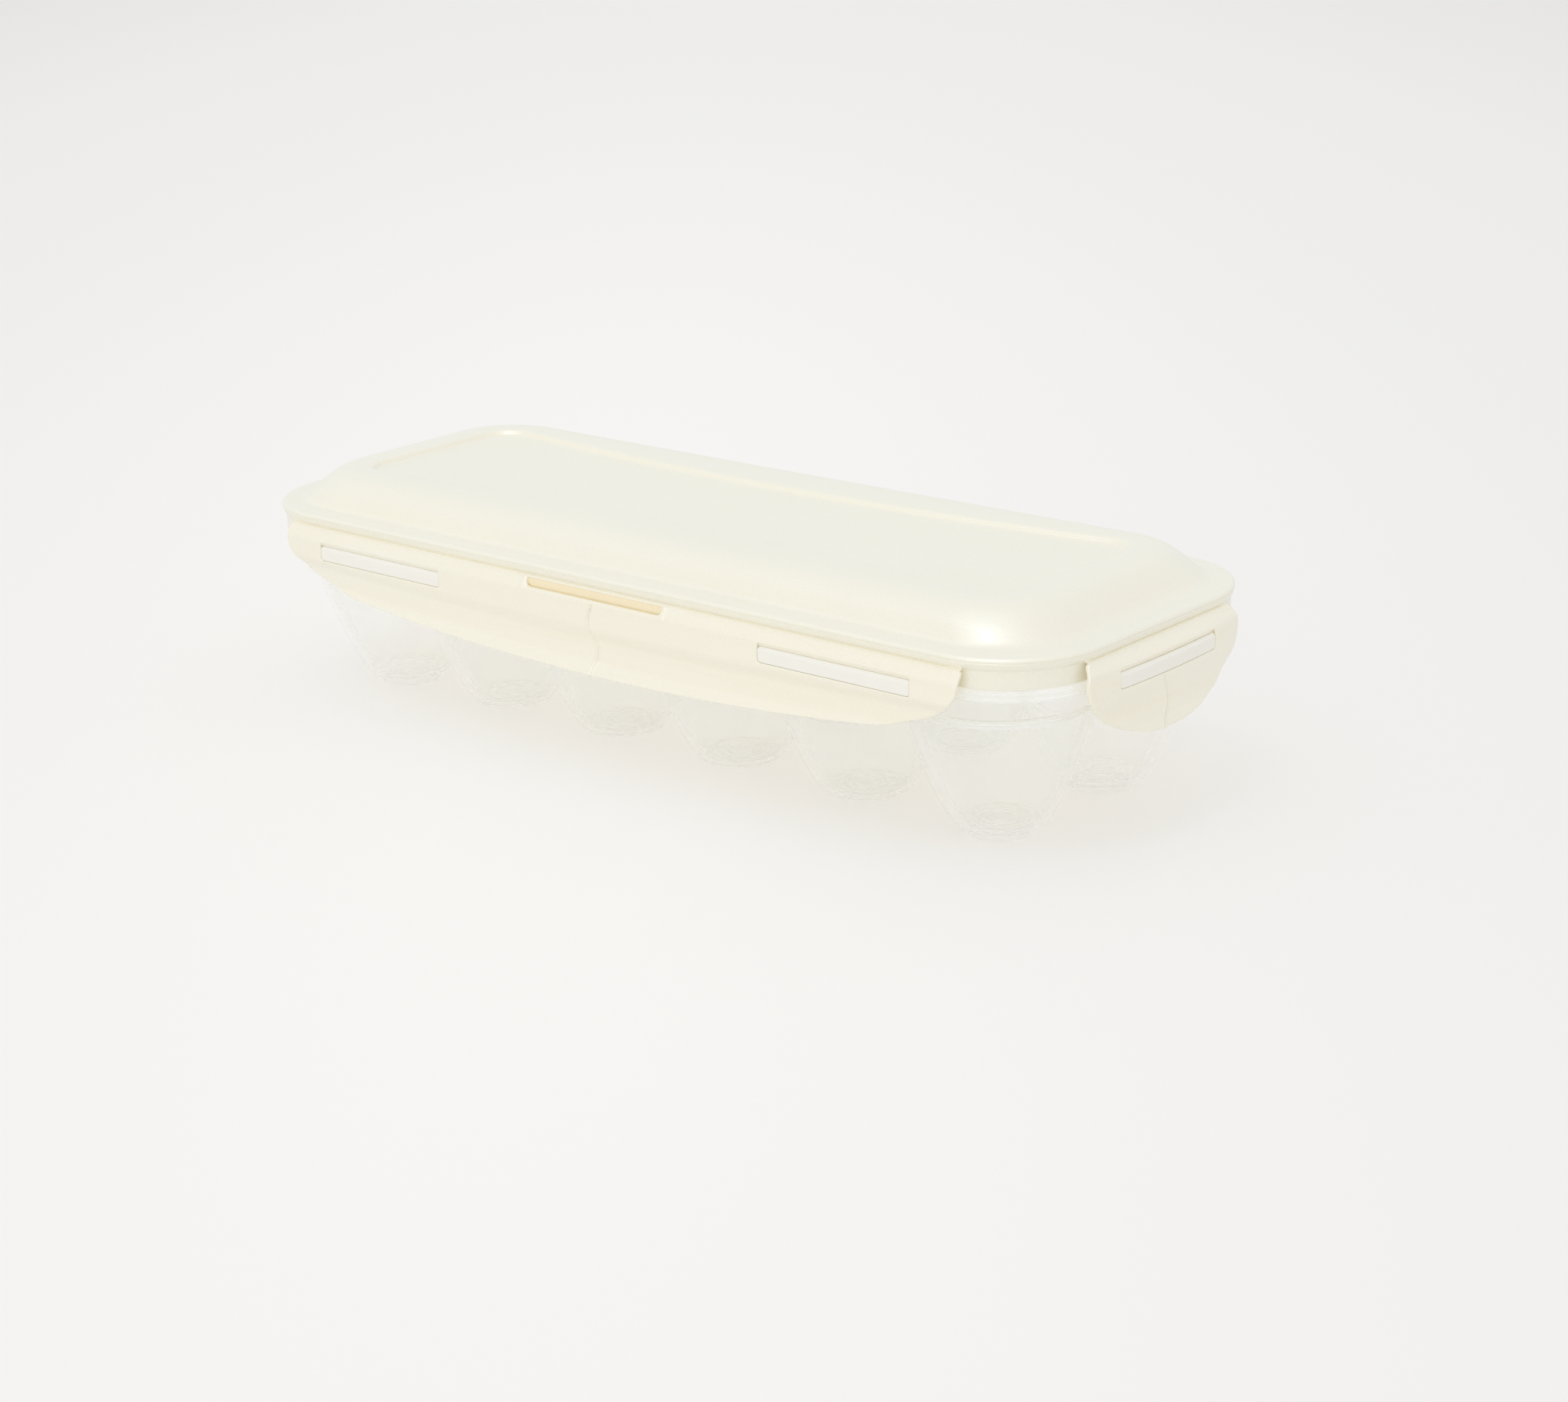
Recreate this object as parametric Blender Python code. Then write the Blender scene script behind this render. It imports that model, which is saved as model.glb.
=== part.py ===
"""Clip-lock egg tray, modelled for Blender 4.5 in metres with +Z up.

A clear moulded tray holds twelve eggs in two rows of six cups. A cream lid with a
soft seal covers it, and four flaps on living hinges lock the lid to the tray.
The origin is the centre of the footprint, on the plane that the four feet stand on.
Blender has no thin film hinge, so each flap is its own object with its origin on
the hinge line, and a small gap stands where the hinge film would be.
"""
from math import atan2, cos, hypot, pi, radians, sin, sqrt

import bmesh
import bpy

MM = 0.001

# Cup grid: two rows of six, on one pitch along the row and one across it.
CUPS_PER_ROW = 6
PITCH_X = 45.6 * MM
ROW_Y = 22.6 * MM
GAP = 0.3 * MM

# Cups: a paraboloid bowl, cut off flat below and opening into the deck above.
BOWL_FLOOR_Z = 3.0 * MM
BOWL_FLOOR_R = 12.0 * MM
BOWL_TOP_R = 26.8 * MM
BOWL_RINGS = (15.8 * MM, 19.2 * MM, 22.2 * MM)
DECK_Z = 38.6 * MM
CUP_WALL = 1.1 * MM
CUP_STEPS = 24
FOOT_R = 8.9 * MM
FOOT_WALL = 1.3 * MM
FOOT_ROOF_Z = 2.6 * MM

# Plan outlines are rounded rectangles grown outwards from this core rectangle.
CORE_X = 120.1 * MM
CORE_Y = 26.3 * MM
ARC_STEPS = 6
LONG_STEPS = 10
END_STEPS = 4

# Tray frame: the ledge under the deck, the wall, the flange and the sealing lip.
LEDGE_A = 140.8 * MM
LEDGE_B = 50.2 * MM
LEDGE_R = 23.4 * MM
WALL_A = 145.6 * MM
WALL_B = 51.8 * MM
WALL_T = 1.2 * MM
FLANGE_R = 27.0 * MM
FLANGE_Z0 = 46.4 * MM
FLANGE_Z1 = 49.7 * MM
LIP_R0 = 23.4 * MM
LIP_R1 = 24.7 * MM
LIP_Z = 54.1 * MM

# Lid: skirt, bead, shallow ledge, domed side, ridge and recessed top panel.
SKIRT_R0 = 25.7 * MM
SKIRT_R1 = 27.0 * MM
SKIRT_Z = 50.0 * MM
BEAD_R = 28.8 * MM
BEAD_Z0 = 56.0 * MM
BEAD_Z1 = 58.2 * MM
LEDGE_TOP_Z = 58.6 * MM
VALLEY_R = 23.2 * MM
RIDGE_Z = 67.7 * MM
PANEL_Z = 66.0 * MM
PANEL_A = 121.3 * MM
PANEL_B = 29.2 * MM
PANEL_R = 8.0 * MM
WAIST = 6.4 * MM
LID_WALL = 1.4 * MM
INNER_LIP_R0 = 20.3 * MM
INNER_LIP_R1 = 21.6 * MM
INNER_LIP_Z = 53.0 * MM
CHANNEL_Z = 56.4 * MM

# Seal: a soft ring in the channel, just above the tray's lip.
SEAL_R0 = INNER_LIP_R1 + GAP
SEAL_R1 = SKIRT_R0 - GAP
SEAL_Z0 = LIP_Z + GAP
SEAL_Z1 = CHANNEL_Z - GAP

# Flaps: hinge line, outer face and slots, with depths measured from the origin.
HINGE_Z = 55.2 * MM
SIDE_HINGE = 54.9 * MM
END_HINGE = 148.5 * MM
FLAP_TOP_Z = 54.7 * MM
FLAP_WALL = 1.2 * MM
FLAP_ROWS = 10
SIDE_FLAP_HALF = 126.6 * MM
SIDE_FLAP_LOW_Z = 30.7 * MM
SIDE_CORNER_X = 100.0 * MM
END_FLAP_HALF = 33.6 * MM
END_FLAP_LOW_Z = 31.0 * MM
END_FLAP_TURN_Z = 50.0 * MM
SLOT_Z0 = 45.8 * MM
SLOT_Z1 = 51.2 * MM
SIDE_SLOT_X0 = 61.2 * MM
SIDE_SLOT_X1 = 111.1 * MM
END_SLOT_HALF = 20.5 * MM
MID_SLOT_HALF = 25.7 * MM
MID_SLOT_Z0 = 52.1 * MM

# Locking tabs on the flange, one behind each slot, clear of the closed flaps.
TAB_REACH = 0.7 * MM
TAB_INSET = 1.0 * MM

CREAM = (0.905, 0.865, 0.735, 1.0)
CLEAR = (0.90, 0.92, 0.93, 0.35)
SOFT_WHITE = (0.86, 0.87, 0.86, 1.0)


def clear_scene():
    """Remove every object that the file opened with."""
    for item in list(bpy.data.objects):
        bpy.data.objects.remove(item, do_unlink=True)


def make_material(name, color, roughness):
    """Return a Principled BSDF material in one plain colour."""
    material = bpy.data.materials.new(name)
    material.use_nodes = True
    shader = material.node_tree.nodes["Principled BSDF"]
    shader.inputs["Base Color"].default_value = color[:3] + (1.0,)
    shader.inputs["Alpha"].default_value = color[3]
    shader.inputs["Roughness"].default_value = roughness
    shader.inputs["Metallic"].default_value = 0.0
    return material


def make_object(name, bm, material, smooth_angle=35.0):
    """Turn a bmesh into a smooth-shaded object with one material."""
    bmesh.ops.remove_doubles(bm, verts=bm.verts, dist=0.00001)
    bmesh.ops.recalc_face_normals(bm, faces=bm.faces)
    mesh = bpy.data.meshes.new(name)
    bm.to_mesh(mesh)
    bm.free()
    mesh.materials.append(material)
    mesh.shade_smooth()
    mesh.set_sharp_from_angle(angle=radians(smooth_angle))
    item = bpy.data.objects.new(name, mesh)
    bpy.context.scene.collection.objects.link(item)
    return item


def ring(a, b, r, z, waist=0.0):
    """Points of a rounded rectangle with half sides a and b and corner radius r.

    A waist draws the two long sides in towards the middle along a shallow arc.
    """
    corners = ((a - r, b - r), (r - a, b - r), (r - a, r - b), (a - r, r - b))
    sides = (LONG_STEPS, END_STEPS, LONG_STEPS, END_STEPS)
    points = []
    for index, (cx, cy) in enumerate(corners):
        for step in range(ARC_STEPS + 1):
            angle = pi / 2 * (index + step / ARC_STEPS)
            points.append((cx + r * cos(angle), cy + r * sin(angle)))
        after = corners[(index + 1) % 4]
        turn = pi / 2 * (index + 1)
        start = (cx + r * cos(turn), cy + r * sin(turn))
        stop = (after[0] + r * cos(turn), after[1] + r * sin(turn))
        for step in range(1, sides[index]):
            t = step / sides[index]
            points.append((start[0] + t * (stop[0] - start[0]), start[1] + t * (stop[1] - start[1])))
    loop = []
    for x, y in points:
        pull = waist * max(0.0, 1.0 - (x / (a - r)) ** 2)
        loop.append((x, y - pull if y > 0 else y + pull, z))
    return loop


def grown(r, z):
    """Rounded rectangle grown by r from the core rectangle."""
    return ring(CORE_X + r, CORE_Y + r, r, z)


def skin(bm, loops, cap_first=False, cap_last=False, close=False):
    """Bridge equal loops of points with quads and cap the ends that need it."""
    rows = [[bm.verts.new(point) for point in loop] for loop in loops]
    pairs = list(zip(rows, rows[1:]))
    if close:
        pairs.append((rows[-1], rows[0]))
    for lower, upper in pairs:
        count = len(lower)
        for k in range(count):
            n = (k + 1) % count
            bm.faces.new((lower[k], lower[n], upper[n], upper[k]))
    if cap_first:
        bm.faces.new(rows[0])
    if cap_last:
        bm.faces.new(rows[-1])
    return rows


def add_box(bm, low, high):
    """Add one closed box between two corners."""
    (x0, y0, z0), (x1, y1, z1) = low, high
    base = [(x0, y0), (x1, y0), (x1, y1), (x0, y1)]
    loops = [[(x, y, z0) for x, y in base], [(x, y, z1) for x, y in base]]
    skin(bm, loops, cap_first=True, cap_last=True)


def add_boolean(item, other, operation, name):
    """Cut or join item with a helper object that stays hidden."""
    other.hide_render = True
    other.display_type = "WIRE"
    modifier = item.modifiers.new(name, "BOOLEAN")
    modifier.operation = operation
    modifier.solver = "EXACT"
    modifier.object = other


# Cups

def bowl_rise():
    """How fast the bowl climbs: height gained per square of radius."""
    return (DECK_Z - BOWL_FLOOR_Z) / (BOWL_TOP_R ** 2 - BOWL_FLOOR_R ** 2)


def bowl_under(r):
    """Height of the bowl's outer face at radius r, level with the deck beyond it."""
    return min(DECK_Z, BOWL_FLOOR_Z + bowl_rise() * max(0.0, r ** 2 - BOWL_FLOOR_R ** 2))


def bowl_inside(r):
    """Height of the bowl's inner face, one wall thickness square off the outer one."""
    steepness = 2 * bowl_rise() * r
    height = BOWL_FLOOR_Z + bowl_rise() * (r ** 2 - BOWL_FLOOR_R ** 2) + CUP_WALL * hypot(1.0, steepness)
    return min(DECK_Z + CUP_WALL, max(BOWL_FLOOR_Z + CUP_WALL, height))


def in_share(cx, cy, x, y):
    """Whether a point belongs to one cup's share of the tray."""
    last_x = PITCH_X * (CUPS_PER_ROW - 1) / 2
    if abs(y) < GAP / 2 or y * cy < 0:
        return False
    outward = abs(cx) > last_x - GAP and (x - cx) * cx > 0
    if abs(x - cx) > PITCH_X / 2 - GAP / 2 and not outward:
        return False
    trim = WALL_T + GAP
    over_x = abs(x) - (LEDGE_A - LEDGE_R)
    over_y = abs(y) - (LEDGE_B - LEDGE_R)
    if max(over_x, over_y) > LEDGE_R - trim:
        return False
    return min(over_x, over_y) < 0 or hypot(over_x, over_y) < LEDGE_R - trim


def cup_reach(cx, cy, angle):
    """Distance from a cup's axis to the edge of its share of the tray."""
    low, high = 0.0, PITCH_X
    for _ in range(30):
        middle = (low + high) / 2
        if in_share(cx, cy, cx + middle * cos(angle), cy + middle * sin(angle)):
            low = middle
        else:
            high = middle
    return low


def cup_angles(cx, cy):
    """Even steps round a cup, with the nearest ones moved on to its share's corners."""
    angles = [2 * pi * step / CUP_STEPS for step in range(CUP_STEPS)]
    fine = [2 * pi * step / 720 for step in range(720)]
    corners = [angle for angle in fine if is_corner(cx, cy, angle)]
    for corner in corners:
        nearest = round(corner / (2 * pi) * CUP_STEPS) % CUP_STEPS
        angles[nearest] = corner
    return angles


def is_corner(cx, cy, angle):
    """Whether the edge of a cup's share turns a square corner at this angle."""
    step = radians(1.5)
    points = []
    for turn in (angle - step, angle, angle + step):
        reach = cup_reach(cx, cy, turn)
        points.append((reach * cos(turn), reach * sin(turn)))
    (x0, y0), (x1, y1), (x2, y2) = points
    bend = atan2(y2 - y1, x2 - x1) - atan2(y1 - y0, x1 - x0)
    return cos(bend) < cos(radians(60))


def make_cup(name, cx, cy, material, with_foot):
    """One egg cup: a thin bowl, open above, with a foot ring on the corner cups."""
    angles = cup_angles(cx, cy)
    reach = [cup_reach(cx, cy, angle) for angle in angles]

    def circle(r, z):
        return [(r * cos(angle), r * sin(angle), z) for angle in angles]

    def bowl(r, height):
        limits = [min(r, limit) for limit in reach]
        return [(d * cos(angle), d * sin(angle), height(d)) for d, angle in zip(limits, angles)]

    edge = PITCH_X
    foot = []
    if with_foot:
        foot = [circle(FOOT_R - FOOT_WALL, FOOT_ROOF_Z), circle(FOOT_R - FOOT_WALL, 0.0)]
        foot += [circle(FOOT_R, 0.0), circle(FOOT_R, BOWL_FLOOR_Z)]
    under = [bowl(r, bowl_under) for r in (BOWL_FLOOR_R, *BOWL_RINGS, BOWL_TOP_R, edge)]
    inside = [circle(BOWL_FLOOR_R - 0.7 * CUP_WALL, BOWL_FLOOR_Z + CUP_WALL)]
    inside += [bowl(r, bowl_inside) for r in (*BOWL_RINGS, BOWL_TOP_R - CUP_WALL, edge)]
    bm = bmesh.new()
    skin(bm, foot + under + inside[::-1], cap_first=True, cap_last=True)
    item = make_object(name, bm, material)
    item.location = (cx, cy, 0.0)
    return item


def make_cups(material):
    """Both rows of cups, numbered from the left end."""
    cups = []
    for row_name, y in (("front", -ROW_Y), ("back", ROW_Y)):
        for index in range(CUPS_PER_ROW):
            x = (index - (CUPS_PER_ROW - 1) / 2) * PITCH_X
            corner = index in (0, CUPS_PER_ROW - 1)
            cups.append(make_cup(f"cup_{row_name}_{index + 1}", x, y, material, corner))
    return cups


# Tray frame

def make_tabs():
    """Helper with the six locking tabs that stand out from the flange."""
    bm = bmesh.new()
    side_y0 = CORE_Y + FLANGE_R - 0.5 * MM
    side_y1 = CORE_Y + FLANGE_R + TAB_REACH
    end_x0 = CORE_X + FLANGE_R - 0.5 * MM
    end_x1 = CORE_X + FLANGE_R + TAB_REACH
    z0, z1 = FLANGE_Z0 + 0.3 * MM, FLANGE_Z1 - 0.2 * MM
    for sx in (-1, 1):
        x0, x1 = sorted((sx * (SIDE_SLOT_X0 + TAB_INSET), sx * (SIDE_SLOT_X1 - TAB_INSET)))
        for sy in (-1, 1):
            y0, y1 = sorted((sy * side_y0, sy * side_y1))
            add_box(bm, (x0, y0, z0), (x1, y1, z1))
        x0, x1 = sorted((sx * end_x0, sx * end_x1))
        reach = END_SLOT_HALF - TAB_INSET
        add_box(bm, (x0, -reach, z0), (x1, reach, z1))
    return make_object("tabs_helper", bm, bpy.data.materials["clear_plastic"])


def make_frame(material):
    """The tray's ledge, wall, flange and sealing lip, as one closed ring."""
    inner_a, inner_b, inner_r = LEDGE_A - WALL_T, LEDGE_B - WALL_T, LEDGE_R - WALL_T
    wall_r = CORE_X - WALL_A
    loops = [
        ring(inner_a, inner_b, inner_r, DECK_Z),
        ring(LEDGE_A - 0.4 * MM, LEDGE_B - 0.4 * MM, LEDGE_R, DECK_Z),
        ring(LEDGE_A + 0.6 * MM, LEDGE_B + 0.5 * MM, LEDGE_R, DECK_Z + 1.2 * MM),
        ring(WALL_A, WALL_B, -wall_r, FLANGE_Z0),
        grown(FLANGE_R, FLANGE_Z0),
        grown(FLANGE_R, FLANGE_Z1),
        grown(LIP_R1, FLANGE_Z1),
        grown(LIP_R1, LIP_Z),
        grown(LIP_R0, LIP_Z),
        grown(LIP_R0, FLANGE_Z1 - WALL_T),
        ring(WALL_A - WALL_T, WALL_B - WALL_T, -wall_r - WALL_T, FLANGE_Z0 - 1.0 * MM),
        ring(LEDGE_A - 0.5 * MM, LEDGE_B - 0.6 * MM, LEDGE_R, DECK_Z + 1.6 * MM),
        ring(inner_a, inner_b, inner_r, DECK_Z + CUP_WALL),
    ]
    bm = bmesh.new()
    skin(bm, loops, close=True)
    frame = make_object("tray_frame", bm, material)
    add_boolean(frame, make_tabs(), "UNION", "locking tabs")
    return frame


# Lid and seal

def make_lid(material):
    """The lid's shell, from the skirt's edge over the dome to the recessed panel."""
    outer = [
        grown(SKIRT_R1, SKIRT_Z),
        grown(SKIRT_R1, BEAD_Z0),
        grown(BEAD_R, BEAD_Z0 + 0.3 * MM),
        grown(BEAD_R, BEAD_Z1 - 0.6 * MM),
        grown(BEAD_R - 0.8 * MM, BEAD_Z1),
        grown(VALLEY_R + 2.2 * MM, LEDGE_TOP_Z - 0.1 * MM),
        grown(VALLEY_R, LEDGE_TOP_Z + 0.3 * MM),
    ]
    dome = [
        (138.9 * MM, 46.9 * MM, 22.4 * MM, 61.2 * MM, 0.0),
        (136.4 * MM, 45.3 * MM, 22.4 * MM, 63.8 * MM, 0.0),
        (133.2 * MM, 41.6 * MM, 20.6 * MM, 66.6 * MM, WAIST * 0.03),
        (129.4 * MM, 37.0 * MM, 16.8 * MM, RIDGE_Z, WAIST * 0.16),
        (PANEL_A + 2.0 * MM, PANEL_B + 1.8 * MM, PANEL_R + 1.5 * MM, RIDGE_Z - 0.4 * MM, WAIST),
    ]
    outer += [ring(*level) for level in dome]
    outer.append(ring(PANEL_A, PANEL_B, PANEL_R, PANEL_Z, WAIST))
    inner = [
        ring(PANEL_A - 1.0 * MM, PANEL_B - 1.0 * MM, PANEL_R, PANEL_Z - LID_WALL, WAIST),
        ring(130.4 * MM, 39.4 * MM, 23.0 * MM, 65.0 * MM),
        ring(134.2 * MM, 43.0 * MM, 23.6 * MM, 63.2 * MM),
        ring(138.2 * MM, 46.2 * MM, 22.8 * MM, 59.6 * MM),
        grown(INNER_LIP_R0, LEDGE_TOP_Z - LID_WALL - 0.4 * MM),
        grown(INNER_LIP_R0, INNER_LIP_Z),
        grown(INNER_LIP_R1, INNER_LIP_Z),
        grown(INNER_LIP_R1, CHANNEL_Z),
        grown(SKIRT_R0, CHANNEL_Z),
        grown(SKIRT_R0, SKIRT_Z),
    ]
    bm = bmesh.new()
    rows = skin(bm, outer)
    under = skin(bm, inner)
    bm.faces.new(rows[-1])
    bm.faces.new(under[0])
    count = len(rows[0])
    for k in range(count):
        n = (k + 1) % count
        bm.faces.new((under[-1][k], under[-1][n], rows[0][n], rows[0][k]))
    return make_object("lid", bm, material)


def make_seal(material):
    """The soft ring in the lid's channel."""
    loops = [
        grown(SEAL_R1, SEAL_Z0),
        grown(SEAL_R1, SEAL_Z1),
        grown(SEAL_R0, SEAL_Z1),
        grown(SEAL_R0, SEAL_Z0),
    ]
    bm = bmesh.new()
    skin(bm, loops, close=True)
    return make_object("seal", bm, material)


# Flaps

def blend(t):
    """Smooth step from 0 to 1."""
    t = min(1.0, max(0.0, t))
    return t * t * (3 - 2 * t)


def along(knots, z):
    """Value at height z on a curve eased between (height, value) knots, top first."""
    for (z1, v1), (z0, v0) in zip(knots, knots[1:]):
        if z >= z0:
            return v0 + (v1 - v0) * blend((z - z0) / (z1 - z0))
    return knots[-1][1]


SIDE_FACE = (
    (54.9 * MM, 55.4 * MM),
    (51.0 * MM, 57.15 * MM),
    (45.0 * MM, 57.4 * MM),
    (39.5 * MM, 55.7 * MM),
    (35.0 * MM, 55.7 * MM),
    (30.6 * MM, 57.8 * MM),
)
END_FACE = (
    (54.9 * MM, 149.1 * MM),
    (51.5 * MM, 150.5 * MM),
    (44.5 * MM, 150.4 * MM),
    (38.5 * MM, 149.3 * MM),
    (35.5 * MM, 149.9 * MM),
    (31.0 * MM, 150.9 * MM),
)
END_CROWN = 1.9 * MM


def side_edge(x):
    """Height of a side flap's lower edge: a shallow arc that turns up at the ends."""
    x = abs(x)
    low = SIDE_FLAP_LOW_Z + 0.53 / 1000 * x ** 2 / MM
    if x <= SIDE_CORNER_X:
        return low
    t = min(1.0, (x - SIDE_CORNER_X) / (SIDE_FLAP_HALF - SIDE_CORNER_X))
    start = SIDE_FLAP_LOW_Z + 0.53 / 1000 * SIDE_CORNER_X ** 2 / MM
    return start + 2.8 * MM * t + 11.8 * MM * (1 - sqrt(max(0.0, 1 - t ** 2.6)))


def end_edge(y):
    """Height of an end flap's lower edge: half an ellipse."""
    t = min(1.0, abs(y) / (END_FLAP_HALF + 0.1 * MM))
    return END_FLAP_TURN_Z - (END_FLAP_TURN_Z - END_FLAP_LOW_Z) * sqrt(1 - t * t)


def side_face(_, z):
    """Depth of a side flap's outer face."""
    return along(SIDE_FACE, z)


def end_face(y, z):
    """Depth of an end flap's outer face, crowned in plan below the hinge."""
    crown = END_CROWN * (1 - (y / END_FLAP_HALF) ** 2) * blend((FLAP_TOP_Z - z) / (6 * MM))
    return along(END_FACE, z) + crown


def columns(half, count):
    """Places along a flap, closer together towards its ends."""
    return [half * sin(pi / 2 * (2 * k / count - 1)) for k in range(count + 1)]


def make_flap(name, hinge, turn, half, face, edge, count, slots, material):
    """One locking flap, built facing +Y and turned to its side, with its slots cut."""
    angle = radians(turn)
    outside, inside = [], []
    for x in columns(half, count):
        out_row, in_row = [], []
        for row in range(FLAP_ROWS + 1):
            z = FLAP_TOP_Z + (edge(x) - FLAP_TOP_Z) * row / FLAP_ROWS
            y = face(x, z) - hinge
            out_row.append((x, y, z - HINGE_Z))
            in_row.append((x, y - FLAP_WALL, z - HINGE_Z))
        outside.append(out_row)
        inside.append(in_row)
    bm = bmesh.new()
    skin(bm, [out + back[::-1] for out, back in zip(outside, inside)], cap_first=True, cap_last=True)
    flap = make_object(name, bm, material)
    cutters = bmesh.new()
    for x0, x1, z0, z1 in slots:
        add_box(cutters, (x0, -4 * MM, z0 - HINGE_Z), (x1, 9 * MM, z1 - HINGE_Z))
    cutter = make_object(name + "_slots", cutters, material)
    places = {0: (0, hinge), 180: (0, -hinge), -90: (hinge, 0), 90: (-hinge, 0)}
    for item in (flap, cutter):
        item.location = (*places[turn], HINGE_Z)
        item.rotation_euler = (0.0, 0.0, angle)
    add_boolean(flap, cutter, "DIFFERENCE", "slots")
    return flap


def make_flaps(material):
    """Two long flaps on the sides and two short ones on the ends."""
    side_slots = [
        (SIDE_SLOT_X0, SIDE_SLOT_X1, SLOT_Z0, SLOT_Z1),
        (-SIDE_SLOT_X1, -SIDE_SLOT_X0, SLOT_Z0, SLOT_Z1),
        (-MID_SLOT_HALF, MID_SLOT_HALF, MID_SLOT_Z0, HINGE_Z + 1 * MM),
    ]
    end_slots = [(-END_SLOT_HALF, END_SLOT_HALF, SLOT_Z0, SLOT_Z1)]
    for name, turn in (("flap_front", 180), ("flap_back", 0)):
        make_flap(name, SIDE_HINGE, turn, SIDE_FLAP_HALF, side_face, side_edge, 24, side_slots, material)
    for name, turn in (("flap_right", -90), ("flap_left", 90)):
        make_flap(name, END_HINGE, turn, END_FLAP_HALF, end_face, end_edge, 12, end_slots, material)


def main():
    """Build the whole tray."""
    clear_scene()
    clear_plastic = make_material("clear_plastic", CLEAR, 0.18)
    cream_plastic = make_material("cream_plastic", CREAM, 0.35)
    silicone = make_material("silicone", SOFT_WHITE, 0.6)
    make_frame(clear_plastic)
    make_cups(clear_plastic)
    make_lid(cream_plastic)
    make_seal(silicone)
    make_flaps(cream_plastic)


main()
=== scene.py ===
"""Looks for a clip-lock egg tray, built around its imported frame.

A clear moulded tray of twelve cups, a pearly cream lid with four flaps on film hinges,
and a soft seal. Lengths in this script are in millimetres until a mesh is made.
"""
import math

import bmesh
import bpy
import numpy as np
from mathutils import Matrix, Vector


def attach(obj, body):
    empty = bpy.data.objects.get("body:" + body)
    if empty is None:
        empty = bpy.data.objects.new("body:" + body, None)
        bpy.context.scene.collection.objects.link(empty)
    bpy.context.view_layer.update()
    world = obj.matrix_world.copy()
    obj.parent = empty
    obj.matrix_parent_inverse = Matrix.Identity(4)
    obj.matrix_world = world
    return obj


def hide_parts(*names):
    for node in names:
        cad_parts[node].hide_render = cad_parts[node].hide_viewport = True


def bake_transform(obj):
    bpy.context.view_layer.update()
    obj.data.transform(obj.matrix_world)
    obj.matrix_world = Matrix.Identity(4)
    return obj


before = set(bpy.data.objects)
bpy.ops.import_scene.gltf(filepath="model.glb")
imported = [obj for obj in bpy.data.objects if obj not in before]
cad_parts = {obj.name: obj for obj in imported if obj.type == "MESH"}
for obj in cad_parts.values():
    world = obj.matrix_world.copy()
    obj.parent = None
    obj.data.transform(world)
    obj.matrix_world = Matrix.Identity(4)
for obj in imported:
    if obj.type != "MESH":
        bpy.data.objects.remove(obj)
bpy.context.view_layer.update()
MM = 0.001

# Sizes shared with the frame.
CORE_X, CORE_Y = 120.1, 26.3
DECK_X, DECK_Y = 117.5, 26.9
PITCH, ROW_Y = 45.6, 22.6
FLOOR_Z, FLOOR_R, BOWL_R, DECK_Z = 3.0, 12.0, 26.8, 38.6
WALL = 1.1
RISE = (DECK_Z - FLOOR_Z) / (BOWL_R ** 2 - FLOOR_R ** 2)
LEDGE_A, LEDGE_B, LEDGE_R = 139.8, 49.2, 22.4
CORNERS = np.array([(1, 1), (-1, 1), (-1, -1), (1, -1)], float)


# Meshes

def make_object(name, points, faces, material, smooth=38.0, weld=0.002):
    """A smooth-shaded object from points in millimetres."""
    mesh = bpy.data.meshes.new(name)
    mesh.from_pydata((np.asarray(points, float) * MM).tolist(), [], faces)
    bm = bmesh.new()
    bm.from_mesh(mesh)
    bmesh.ops.remove_doubles(bm, verts=bm.verts, dist=weld * MM)
    bmesh.ops.recalc_face_normals(bm, faces=bm.faces)
    bm.to_mesh(mesh)
    bm.free()
    mesh.materials.append(material)
    mesh.shade_smooth()
    mesh.set_sharp_from_angle(angle=math.radians(smooth))
    item = bpy.data.objects.new(name, mesh)
    bpy.context.scene.collection.objects.link(item)
    return item


def bridge(rows, start=0, close_ring=True):
    """Quads between rows of equal length whose points are numbered row after row."""
    faces = []
    for k in range(len(rows) - 1):
        count = len(rows[k])
        low, high = start + k * count, start + (k + 1) * count
        for j in range(count if close_ring else count - 1):
            n = (j + 1) % count
            faces.append((low + j, low + n, high + n, high + j))
    return faces


def sweep(name, rows, material, caps=(False, False), closed=False, smooth=38.0):
    """An object skinned over loops of points."""
    points = np.concatenate(rows)
    faces = bridge(rows)
    count = len(rows[0])
    last = (len(rows) - 1) * count
    if closed:
        faces += [(last + j, last + (j + 1) % count, (j + 1) % count, j) for j in range(count)]
    if caps[0]:
        faces.append(tuple(range(count)))
    if caps[1]:
        faces.append(tuple(range(last, last + count)))
    return make_object(name, points, faces, material, smooth)


def soften(keys, steps=5):
    """Ease the corners of a profile. Each key ends with the length that its corner takes."""
    keys = [np.array(key, float) for key in keys]
    rows = [keys[0][:-1]]
    for before, key, after in zip(keys, keys[1:], keys[2:]):
        size, point = key[-1], key[:-1]
        lead, tail = before[:-1] - point, after[:-1] - point
        if size <= 0:
            rows.append(point)
            continue
        start = point + lead * min(size / max(np.linalg.norm(lead), 1e-6), 0.5)
        stop = point + tail * min(size / max(np.linalg.norm(tail), 1e-6), 0.5)
        for k in range(steps + 1):
            t = k / steps
            rows.append((1 - t) ** 2 * start + 2 * t * (1 - t) * point + t * t * stop)
    rows.append(keys[-1][:-1])
    kept = [rows[0]]
    for row in rows[1:]:
        if np.abs(row - kept[-1]).max() > 0.01:
            kept.append(row)
    return kept


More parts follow.
